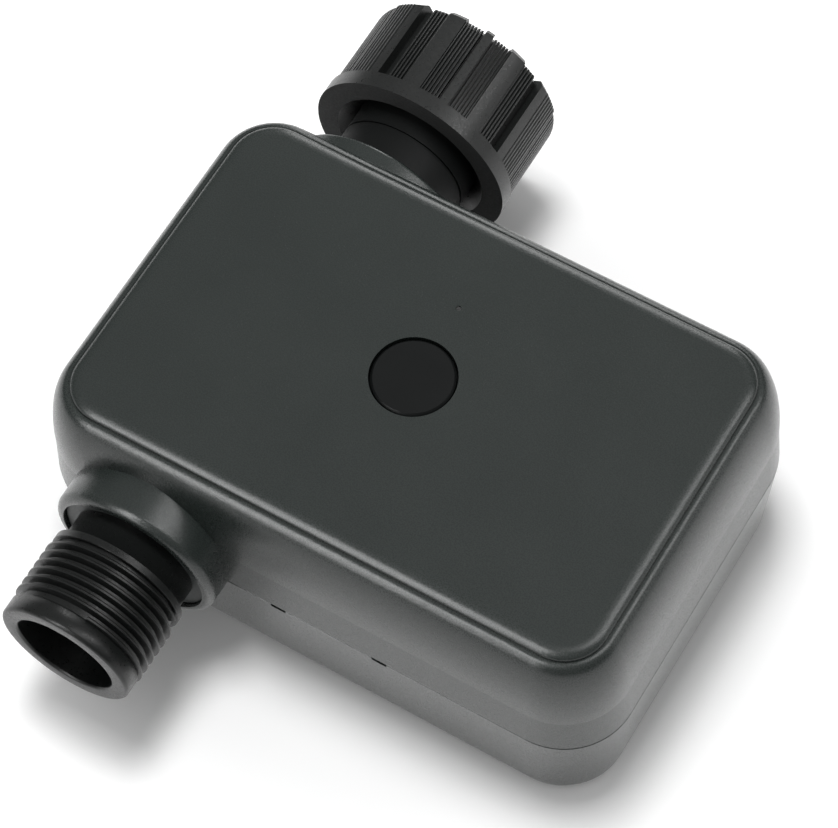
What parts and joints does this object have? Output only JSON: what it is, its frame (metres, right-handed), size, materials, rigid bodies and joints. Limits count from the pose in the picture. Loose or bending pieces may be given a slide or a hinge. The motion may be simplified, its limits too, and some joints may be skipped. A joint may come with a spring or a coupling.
{
  "type": "smart water valve",
  "caption": "Battery powered motor ball valve for a garden water line: flat rounded casing with a push button, male threaded outlet and ribbed swivel nut inlet.",
  "frame": {"origin": "centre of the whole part's footprint, on the plane of the casing's flat back", "axes": "+Z out of the front panel, +Y along the water pipe towards the inlet nut, +X along the casing away from the pipe"},
  "size_m": [0.115, 0.1376, 0.0486],
  "materials": {
    "casing_plastic": "satin moulded",
    "black_plastic": "fine moulded",
    "button_plastic": "matte moulded",
    "rubber": "matte",
    "steel": "zinc plated",
    "brass": "turned",
    "chromed_ball": "polished",
    "seat_plastic": "smooth",
    "gear_plastic": "smooth moulded",
    "frame_plastic": "moulded",
    "motor_can": "plain",
    "cell_wrap": "shrink wrap",
    "contact": "nickel plated",
    "board": "solder mask",
    "clear_plastic": "clear",
    "strainer_plastic": "moulded"
  },
  "bodies": {
    "casing": {"front_shell": "casing_plastic", "back_shell": "casing_plastic", "casing_seal": "rubber", "case_screws": "steel", "outlet_grommet": "rubber", "inlet_grommet": "rubber", "battery_cells": "cell_wrap", "battery_springs": "contact", "battery_plates": "contact", "valve_body": "black_plastic", "ball_seats": "seat_plastic", "inlet_tailpiece": "black_plastic", "tailpiece_ring": "rubber", "inlet_strainer": "strainer_plastic", "inlet_washer": "rubber", "gear_axles": "steel", "gear_box_base": "frame_plastic", "gear_box_cover": "frame_plastic", "gear_box_screws": "steel", "limit_switches": "frame_plastic", "gear_motor": "motor_can", "circuit_board": "board", "board_screws": "steel", "button_membrane": "rubber", "tact_switch": "frame_plastic", "light_pipe": "clear_plastic", "status_led": "seat_plastic", "radio_module": "contact", "board_capacitors": "frame_plastic", "board_plugs": "seat_plastic"},
    "swivel_nut": {"swivel_nut": "black_plastic"},
    "button": {"button_cap": "button_plastic", "switch_plunger": "frame_plastic"},
    "battery_door": {"battery_door": "casing_plastic", "battery_door_screws": "steel", "battery_door_seal": "rubber"},
    "ball_drive": {"valve_ball": "chromed_ball", "valve_stem": "brass", "stem_rings": "rubber", "output_gear": "gear_plastic"},
    "second_gear": {"second_gear": "gear_plastic"},
    "first_gear": {"first_gear": "gear_plastic"},
    "motor_pinion": {"motor_pinion": "brass", "motor_shaft": "steel"}
  },
  "joints": [
    {"name": "nut_swivel", "type": "hinge", "parent": "casing", "child": "swivel_nut", "pos_m": [-0.0315, 0.05725, 0.0261], "axis": [0, 1, 0], "continuous": true},
    {"name": "button_press", "type": "slide", "parent": "casing", "child": "button", "axis": [0, 0, -1], "range_m": [0, 0.0005], "stiffness_N_per_m": 1500, "deforming": ["button_membrane"]},
    {"name": "battery_door_swing", "type": "hinge", "parent": "casing", "child": "battery_door", "pos_m": [0.052, -0.00275, 0], "axis": [0, -1, 0], "range_deg": [0, 75]},
    {"name": "valve_turn", "type": "hinge", "parent": "casing", "child": "ball_drive", "pos_m": [-0.0095, -0.00275, 0.0261], "axis": [1, 0, 0], "range_deg": [0, 90]},
    {"name": "second_gear_turn", "type": "hinge", "parent": "casing", "child": "second_gear", "pos_m": [-0.0095, 0.01005, 0.01649], "axis": [1, 0, 0], "range_deg": [-270, 0]},
    {"name": "first_gear_turn", "type": "hinge", "parent": "casing", "child": "first_gear", "pos_m": [-0.0095, 0.01415, 0.02777], "axis": [1, 0, 0], "range_deg": [0, 810]},
    {"name": "motor_turn", "type": "hinge", "parent": "casing", "child": "motor_pinion", "pos_m": [-0.0095, 0.00284, 0.03177], "axis": [1, 0, 0], "range_deg": [-2430, 0]}
  ],
  "couplings": [
    {"joint": "second_gear_turn", "follows": "valve_turn", "ratio": -3},
    {"joint": "first_gear_turn", "follows": "valve_turn", "ratio": 9},
    {"joint": "motor_turn", "follows": "valve_turn", "ratio": -27}
  ]
}
